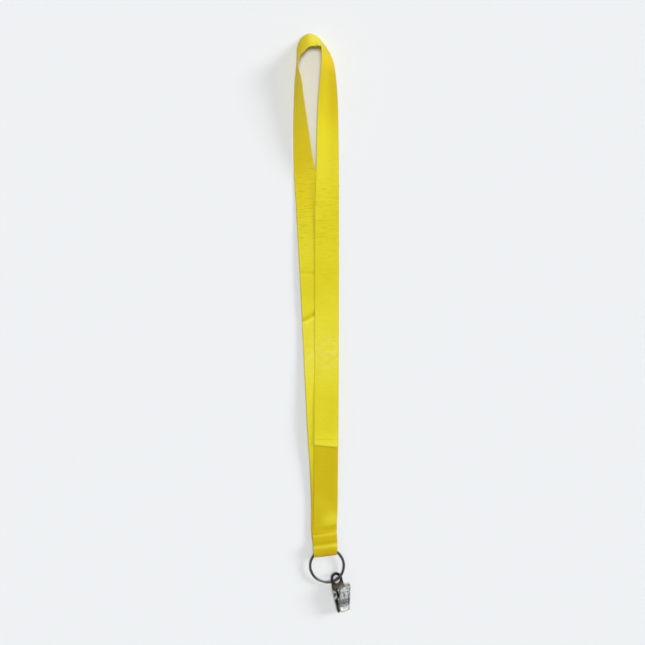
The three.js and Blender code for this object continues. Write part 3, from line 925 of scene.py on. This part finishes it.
def jaw_relief(x, y):
    """Pressed pattern of the front jaw: a sunk panel, an oval boss, dimples and a lip groove."""
    edge_y = float(ease(HALF_FRONT - 0.9 - abs(y), 0.0, 0.8))
    panel = edge_y * float(ease(x, 8.2, 9.2)) * (1 - float(ease(x, 21.4, 22.4)))
    height = -0.24 * panel
    height += 0.60 * knob(x, y, 13.7, -0.2, 1.5, 1.0)
    height += 0.36 * knob(x, y, 10.8, -1.4, 1.0, 1.4) * panel
    height += 0.34 * knob(x, y, 11.4, 3.0, 0.9, 0.8)
    height += 0.40 * knob(x, y, 17.0, -2.9, 0.9, 0.9)
    for k in range(5):
        for row in (0, 1):
            height -= 0.26 * knob(x, y, 17.7 + 1.9 * row, -3.0 + 1.5 * k + 0.5 * row, 0.55, 0.5)
    height -= 0.30 * bell(x, 22.3, 0.45) * edge_y
    return height


def build_front_jaw():
    """Sheet bent down at both sides; each station runs up one flange, across and down."""
    w, r = HALF_FRONT, FRONT_BEND
    stations = np.concatenate([np.linspace(5.9, 8.0, 9), np.linspace(8.2, 21.4, 60),
                               np.linspace(21.6, LIP_END, 26)])
    verts, flanks = [], []
    for x in stations:
        top = jaw_profile(x)
        bottom = min(flange_bottom(x), top - r - 0.05)
        left = [(-w, bottom + (top - r - bottom) * k / 10) for k in range(11)]
        left += [(-w + r - r * math.cos(rad(a)), top - r + r * math.sin(rad(a)))
                 for a in (18, 36, 54, 72, 90)]
        flat = [(y, top) for y in np.linspace(-w + r, w - r, 49)[1:-1]]
        right = [(-y, z) for y, z in left[::-1]]
        for y, z in left + flat + right:
            crown = jaw_relief(x, y) if abs(y) < w - r else 0.0
            bow = -0.5 * (abs(y) / w) ** 2 if x > LIP_START else 0.0
            verts.append((x + bow * (x - LIP_START) / (LIP_END - LIP_START), y, z + crown))
            below = top - z
            side = float(ease(below, 0.25, 0.6)) * (1 - float(ease(below, 1.6, 2.4)))
            flanks.append(0.95 * side)
    count = len(left) + len(flat) + len(right)
    faces = []
    for i in range(len(stations) - 1):
        for j in range(count - 1):
            a = i * count + j
            faces.append((a, a + 1, a + count + 1, a + count))
    obj = mesh_object("clip_front_jaw", to_clip(verts), faces)
    paint(obj, "reach", [p[0] for p in verts])
    paint(obj, "flank", flanks)
    shell = obj.modifiers.new("sheet", "SOLIDIFY")
    shell.thickness = FRONT_SHEET * MM
    shell.offset = -1
    shell.use_even_offset = False
    return obj


def build_pin():
    """Pin with a low domed head at each end."""
    half, head, neck = EAR_OUTER + 0.12, 1.35, 1.3
    dome = [(head * math.cos(rad(a)), half + 0.08 + 0.5 * math.sin(rad(a)))
            for a in (0, 20, 40, 60, 80, 90)]
    profile = [(r, -y) for r, y in dome[::-1]] + [(neck, -half), (PIN_R, -half)]
    profile += [(PIN_R, half), (neck, half)] + dome
    verts, faces = revolve(profile, 40)
    return mesh_object("clip_hinge_pin", to_clip(verts), faces)


def build_spring():
    """Torsion spring: a leg on the back jaw, the coil, a leg under the front jaw's thumb end."""
    points = [Vector((6.6, -1.9, 1.05)), Vector((7.4, -1.9, 1.02)), Vector((8.2, -1.9, 1.0)),
              Vector((9.8, -1.85, 0.94))]
    steps, overrun = COIL_TURNS * 28, 8
    for i in range(steps + overrun + 1):
        a = rad(-90) + 2 * math.pi * COIL_TURNS * i / steps
        y = -COIL_HALF + 2 * COIL_HALF * i / (steps + overrun)
        points.append(Vector((PIN_X + COIL_RADIUS * math.cos(a), y,
                              PIN_Z + COIL_RADIUS * math.sin(a))))
    points += [Vector((10.2, 1.9, 5.2)), Vector((9.05, 1.9, 6.8)), Vector((7.9, 1.9, 8.4))]
    sides = 12
    verts = tube_points(points, SPRING_WIRE, sides, up=Vector((0, 1, 0)))
    return mesh_object("clip_spring", to_clip([tuple(p) for p in verts]),
                       loft_faces(len(points), sides))


back_jaw = build_back_jaw()
# the colour stops paint the eye and its neck dark brown, lighter towards the ears: painted shade
# and dark reflection where the front jaw overhangs
back_jaw.data.materials.append(steel_material(
    "back_jaw_nickel", ((3.0, linear(86, 68, 66)), (5.6, linear(136, 128, 98)),
                        (9.0, linear(190, 187, 174))), 0.28, 0.45))
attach(back_jaw, "clip")
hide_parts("back_jaw")

front_jaw = build_front_jaw()
# the colour stops paint a dark band over the dimples before the lip: painted dark reflection
front_jaw.data.materials.append(steel_material(
    "front_jaw_nickel", ((8.0, linear(206, 208, 206)), (15.6, linear(198, 200, 200)),
                         (17.4, linear(134, 138, 136)), (21.4, linear(146, 150, 148)),
                         (22.8, linear(206, 208, 206))), 0.20, 0.85, dents=0.10, patches=330.0))
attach(front_jaw, "lever")
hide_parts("front_jaw")

pin = build_pin()
pin.data.materials.append(steel_material(
    "pin_steel_dark", ((0.0, linear(70, 66, 56)), (1.0, linear(70, 66, 56))), 0.36, 0.4))
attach(pin, "clip")
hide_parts("hinge_pin")

spring = build_spring()
spring.data.materials.append(steel_material(
    "spring_steel", ((0.0, linear(176, 174, 170)), (1.0, linear(176, 174, 170))), 0.24, 0.3))
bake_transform(spring)
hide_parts("torsion_spring")


# ---------------------------------------------------------------- floor and light

def build_floor():
    """Plain pale floor, wide enough to fill the view from low angles."""
    size = 9.0
    mesh = bpy.data.meshes.new("floor")
    mesh.from_pydata([(-size, -size, 0), (size, -size, 0), (size, size, 0), (-size, size, 0)],
                     [], [(0, 1, 2, 3)])
    obj = bpy.data.objects.new("floor", mesh)
    bpy.context.scene.collection.objects.link(obj)
    n = Nodes("floor_paper")
    point = n.add("ShaderNodeTexCoord").outputs["Object"]
    cloud = n.noise(point, 2.5)
    n.set(Base_Color=n.mix(cloud, (0.800, 0.815, 0.830, 1), (0.806, 0.820, 0.834, 1)),
          Roughness=0.9, Specular_IOR_Level=0.1)
    mesh.materials.append(n.material)


build_floor()


def area_light(name, location, target, size, power):
    """A round card of light that faces its target."""
    data = bpy.data.lights.new(name, "AREA")
    data.shape = "DISK"
    data.size = size
    data.energy = power
    obj = bpy.data.objects.new(name, data)
    obj.location = location
    obj.rotation_euler = (Vector(target) - Vector(location)).to_track_quat("-Z", "Y").to_euler()
    bpy.context.scene.collection.objects.link(obj)
    return obj


def sun_light(name, direction, angle, power):
    """A soft sun that shines from a direction, as wide as its angle."""
    data = bpy.data.lights.new(name, "SUN")
    data.angle = rad(angle)
    data.energy = power
    obj = bpy.data.objects.new(name, data)
    obj.rotation_euler = Vector(direction).to_track_quat("Z", "Y").to_euler()
    bpy.context.scene.collection.objects.link(obj)
    return obj


# the suns light the cloth and the floor, the cards are only seen in the metal
for sun in (sun_light("overhead", (0.03, 0.04, 1.0), angle=14, power=1.92),
            sun_light("window", (0.84, 0.24, 0.46), angle=22, power=1.5)):
    sun.visible_glossy = False
METAL_END = (0, -0.2, 0)
for card in (area_light("card_right", (1.27, -0.63, 0.31), METAL_END, size=0.8, power=1.5),
             area_light("card_front", (-0.35, -1.5, 0.75), METAL_END, size=0.8, power=7)):
    card.visible_diffuse = False

# an even pale sky; mirror-like surfaces see it brighter towards the horizon
world = bpy.data.worlds.new("studio")
bpy.context.scene.world = world
world.use_nodes = True
sky = world.node_tree
background = sky.nodes["Background"]
direction = sky.nodes.new("ShaderNodeTexCoord")
axes = sky.nodes.new("ShaderNodeSeparateXYZ")
sky.links.new(direction.outputs["Generated"], axes.inputs[0])
height = sky.nodes.new("ShaderNodeMapRange")
for socket, value in (("From Min", 0.25), ("From Max", 0.85), ("To Min", 0.62), ("To Max", 0.22)):
    height.inputs[socket].default_value = value
sky.links.new(axes.outputs["Z"], height.inputs["Value"])
ray = sky.nodes.new("ShaderNodeLightPath")
DIFFUSE_STRENGTH = 0.25
strength = sky.nodes.new("ShaderNodeMix")
strength.inputs[2].default_value = DIFFUSE_STRENGTH
sky.links.new(ray.outputs["Is Glossy Ray"], strength.inputs[0])
sky.links.new(height.outputs[0], strength.inputs[3])
sky.links.new(strength.outputs[0], background.inputs["Strength"])
background.inputs["Color"].default_value = (0.98, 0.99, 1.0, 1)

bpy.context.scene.view_settings.view_transform = "Standard"
bpy.context.scene.view_settings.look = "None"
